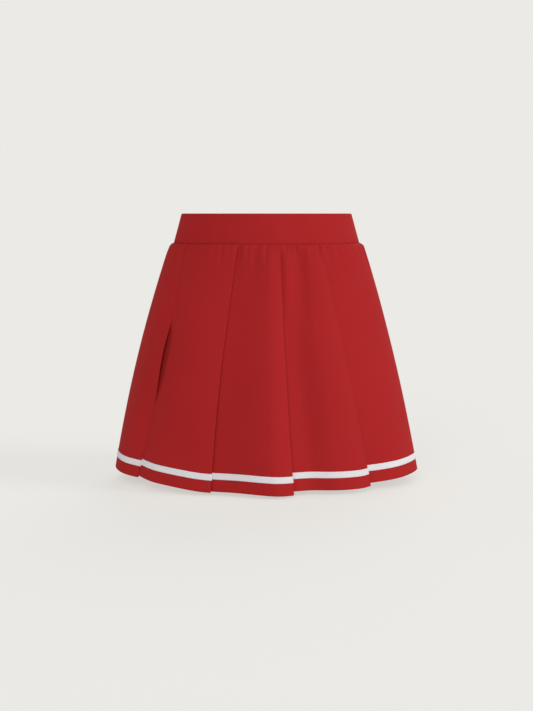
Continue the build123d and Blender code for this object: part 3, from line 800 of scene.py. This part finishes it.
def hanger_loop(side):
    """A narrow ribbon that hangs from the side seam as a flat loop."""
    node = f"hanger_loop_{side}"
    low, high = (np.array(corner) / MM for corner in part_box(node))
    middle = (low + high) / 2
    down = np.linspace(high[2], low[2] + LOOP_SLACK + 1.0, LOOP_ROWS)
    turn = np.linspace(0, math.pi, 9)[1:-1]
    strand = np.full(LOOP_ROWS, LOOP_SLACK)
    x = np.concatenate([strand, LOOP_SLACK * np.cos(turn), -strand])
    z = np.concatenate([down, down[-1] - (LOOP_SLACK + 0.8) * np.sin(turn), down[::-1]])
    hang = (high[2] - z) / (high[2] - low[2])
    x = middle[0] + x * (1 + 0.8 * np.sin(math.pi * hang)) + 0.5 * np.sin(4 * hang) * hang
    path = np.stack([x, middle[1] + 0.8 * np.sin(2.5 * hang), z], axis=-1)
    twist = np.radians(9 * np.sin(3 * hang + (0.8 if side == "left" else -0.5)))
    across = np.stack([np.sin(twist), np.cos(twist), np.zeros_like(twist)], axis=-1)
    strip = hanging_strip(path, across, LOOP_WIDTH, 7, 0.12)
    piece = sheet_piece(f"loop_{side}", strip, RIBBON, loop_ribbon)
    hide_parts(node)
    return piece


def label():
    """A blank satin label, folded at its foot, both ends caught in the seam below the facing."""
    low, high = (np.array(corner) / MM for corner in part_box("care_label"))
    sideways = unit(np.array([high[0] - low[0], low[1] - high[1], 0.0]))
    inward = np.array([sideways[1], -sideways[0], 0.0])
    width = np.hypot(high[0] - low[0], high[1] - low[1]) - 0.2
    top = np.array([(low[0] + high[0]) / 2, (low[1] + high[1]) / 2, high[2]])
    drop = high[2] - low[2] - 1.0
    down = np.linspace(0, 1, 22)
    turn = np.linspace(0, math.pi, 9)[1:-1]
    lean = LABEL_LEAN * down**2
    z = np.concatenate([-drop * down, -drop - LABEL_FOLD * np.sin(turn), -drop * down[::-1]])
    swell = 0.9 * np.sin(math.pi * down)
    round_fold = LABEL_LEAN + LABEL_FOLD * (1 - np.cos(turn))
    off = np.concatenate([lean, round_fold, (lean + 2 * LABEL_FOLD + swell)[::-1]])
    path = top + inward * off[:, None] + np.array([0, 0, 1.0]) * z[:, None]
    across = np.tile(sideways, (len(path), 1))
    strip = hanging_strip(path, across, width, LABEL_COLUMNS, 0.0)
    bow = 0.5 * np.cos(np.linspace(-1.3, 1.3, LABEL_COLUMNS))
    strip = strip + inward * (bow * (np.abs(z) / drop)[:, None])[:, :, None]
    piece = sheet_piece("label", strip, LABEL_CLOTH, label_satin)
    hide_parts("care_label")


for place in ("front", "back_left", "back_right"):
    band_piece(place)
    facing_piece(place, [hanger_loop(side) for side in ("left", "right")] if place == "front" else [])
    skirt_panel(place)
label()


# ------------------------------------------------------------------ zip
TOOTH_SPACING = 1.6
TOOTH_HEAD = -0.25                  # from the zip's centre line to a tooth's head
TOOTH_ROOT = 2.5
TOOTH_MIDDLE = -1.15                # inward of the tapes' middle
TOOTH_SIDES = 8
CORD_ACROSS = 2.05                  # from the zip's centre line to the cord in the tape's edge
CORD_RADIUS = 0.32
TOOTH_TOP, TOOTH_FOOT = 9.6, 179.4  # first and last tooth, down from the band's top edge
LEAN = math.hypot(1, ZIP_LEAN)


def zip_point(across, down, out):
    """A point from its place in the zip's own leaning plane."""
    y = ZIP_PLANE_Y + (ZIP_LEAN * down + out) / LEAN
    z = (ZIP_LEAN * out - down) / LEAN
    return np.stack(np.broadcast_arrays(across, y, z), axis=-1)


def tooth_comb(side, sign):
    """The moulded teeth of one tape, with the cord that they are moulded on."""
    shift = TOOTH_SPACING / 2 if side == "right" else 0.0
    places = np.arange(TOOTH_TOP + shift, TOOTH_FOOT, TOOTH_SPACING)
    turn = (np.arange(TOOTH_SIDES) + 0.5) * 2 * math.pi / TOOTH_SIDES
    flat = 1.0 / np.maximum(np.abs(np.cos(turn)), np.abs(np.sin(turn))) ** 0.7
    # a tooth from its head to its root: distance from the zip's centre line, half length and half height
    sections = [
        (TOOTH_HEAD, 0.26, 0.40), (TOOTH_HEAD + 0.2, 0.34, 0.60), (0.5, 0.34, 0.62), (1.2, 0.46, 0.66),
        (TOOTH_ROOT - 0.15, 0.46, 0.64), (TOOTH_ROOT, 0.34, 0.5),
    ]
    points, faces = [], []
    for place in places:
        start = len(points) * TOOTH_SIDES
        for across, half_length, half_height in sections:
            down = place + half_length * flat * np.cos(turn)
            out = TOOTH_MIDDLE + half_height * flat * np.sin(turn)
            points.append(zip_point(sign * across, down, out))
        faces += tube_faces(start, len(sections), TOOTH_SIDES)
    start = len(points) * TOOTH_SIDES
    across = sign * CORD_ACROSS + CORD_RADIUS * np.cos(turn)
    out = TOOTH_MIDDLE + CORD_RADIUS * np.sin(turn)
    for down in (TOOTH_TOP - 0.6, TOOTH_FOOT + 0.4):
        points.append(zip_point(across, down, out))
    faces += tube_faces(start, 2, TOOTH_SIDES)
    piece = mesh_piece(f"teeth_{side}", np.concatenate(points), faces, zip_plastic, "root")
    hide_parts(f"zipper_teeth_{side}")


def tube_faces(start, rings, sides):
    """Faces of a closed tube of rings of points, numbered from start."""
    faces = []
    for ring in range(rings - 1):
        first = start + ring * sides
        for side in range(sides):
            beside = (side + 1) % sides
            faces.append([first + side, first + beside, first + sides + beside, first + sides + side])
    faces.append([start + side for side in reversed(range(sides))])
    faces.append([start + (rings - 1) * sides + side for side in range(sides)])
    return faces


tooth_comb("left", 1)
tooth_comb("right", -1)
eased_copy("zipper_slider", "slider_body", zip_enamel, "slider", radius=0.18)
eased_copy("zipper_pull", "pull_tab", zip_enamel, "pull", radius=0.16)

# ------------------------------------------------------------------ finishes of the frame's own pieces
KEPT = {
    "zipper_tape_left": tape_cloth, "zipper_tape_right": tape_cloth,
    "zipper_top_stops": zip_plastic, "zipper_bottom_stop": zip_enamel,
    "waist_hook": plated_wire, "waist_eye": plated_wire,
    "waistband_interlining_front": stiffener, "waistband_interlining_back_left": stiffener,
    "waistband_interlining_back_right": stiffener,
}
for node, material in KEPT.items():
    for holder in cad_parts[node].material_slots:
        holder.material = material

# ------------------------------------------------------------------ floor and light
FLOOR_DROP = 5.0                    # the hem hangs this far clear of the floor
FLOOR_HALF = 60.0
PALE = (0.831, 0.823, 0.791)        # the light that comes from the backdrop and the floor
ROOM_LIGHT = 0.46                   # the share of it that the room gives
FLOOR_SHADE = 0.30                  # the rest of the floor's light is its own
# distant soft lamps: strength, azimuth from the camera's side towards +X, elevation and spread in degrees
LAMPS = {
    "front_light": (1.1, -12, 35, 40),
    "side_light": (1.45, 74, 20, 25),
    "back_light": (0.8, 165, 35, 40),
}


def stage_floor():
    mesh = bpy.data.meshes.new("floor")
    level = -(HEM_DEPTH + FLOOR_DROP) * MM
    corners = [(-1, -1), (1, -1), (1, 1), (-1, 1)]
    points = [(x * FLOOR_HALF, y * FLOOR_HALF, level) for x, y in corners]
    mesh.from_pydata(points, [], [(0, 1, 2, 3)])
    floor = bpy.data.objects.new("floor", mesh)
    bpy.context.collection.objects.link(floor)
    material, _, shader = new_material("pale_floor")
    # what the lamps and the room give it, and its own light for the rest
    lamps = sum(strength * math.sin(math.radians(high)) for strength, _, high, _ in LAMPS.values()) / math.pi
    own = [tone - FLOOR_SHADE * (tone * ROOM_LIGHT + lamps) for tone in PALE]
    shader.inputs["Base Color"].default_value = (FLOOR_SHADE, FLOOR_SHADE, FLOOR_SHADE, 1)
    shader.inputs["Roughness"].default_value = 1.0
    shader.inputs["Specular IOR Level"].default_value = 0.0
    shader.inputs["Emission Color"].default_value = (*own, 1)
    shader.inputs["Emission Strength"].default_value = 1.0
    mesh.materials.append(material)


def room():
    """A pale backdrop all round that lights the skirt more softly than it looks."""
    world = bpy.data.worlds.new("studio")
    bpy.context.scene.world = world
    world.use_nodes = True
    tree = world.node_tree
    seen = tree.nodes["Background"]
    seen.inputs["Color"].default_value = (*PALE, 1)
    light = tree.nodes.new("ShaderNodeBackground")
    light.inputs["Color"].default_value = (*PALE, 1)
    light.inputs["Strength"].default_value = ROOM_LIGHT
    ray = tree.nodes.new("ShaderNodeLightPath")
    choose = tree.nodes.new("ShaderNodeMixShader")
    tree.links.new(ray.outputs["Is Camera Ray"], choose.inputs["Fac"])
    tree.links.new(light.outputs["Background"], choose.inputs[1])
    tree.links.new(seen.outputs["Background"], choose.inputs[2])
    tree.links.new(choose.outputs["Shader"], tree.nodes["World Output"].inputs["Surface"])


def lamp(name, strength, azimuth, elevation, spread):
    light = bpy.data.lights.new(name, "SUN")
    light.energy = strength
    light.angle = math.radians(spread)
    holder = bpy.data.objects.new(name, light)
    holder.rotation_euler = (math.radians(90 - elevation), 0.0, math.radians(azimuth))
    bpy.context.collection.objects.link(holder)


stage_floor()
room()
for name, settings in LAMPS.items():
    lamp(name, *settings)
bpy.context.scene.view_settings.view_transform = "Standard"
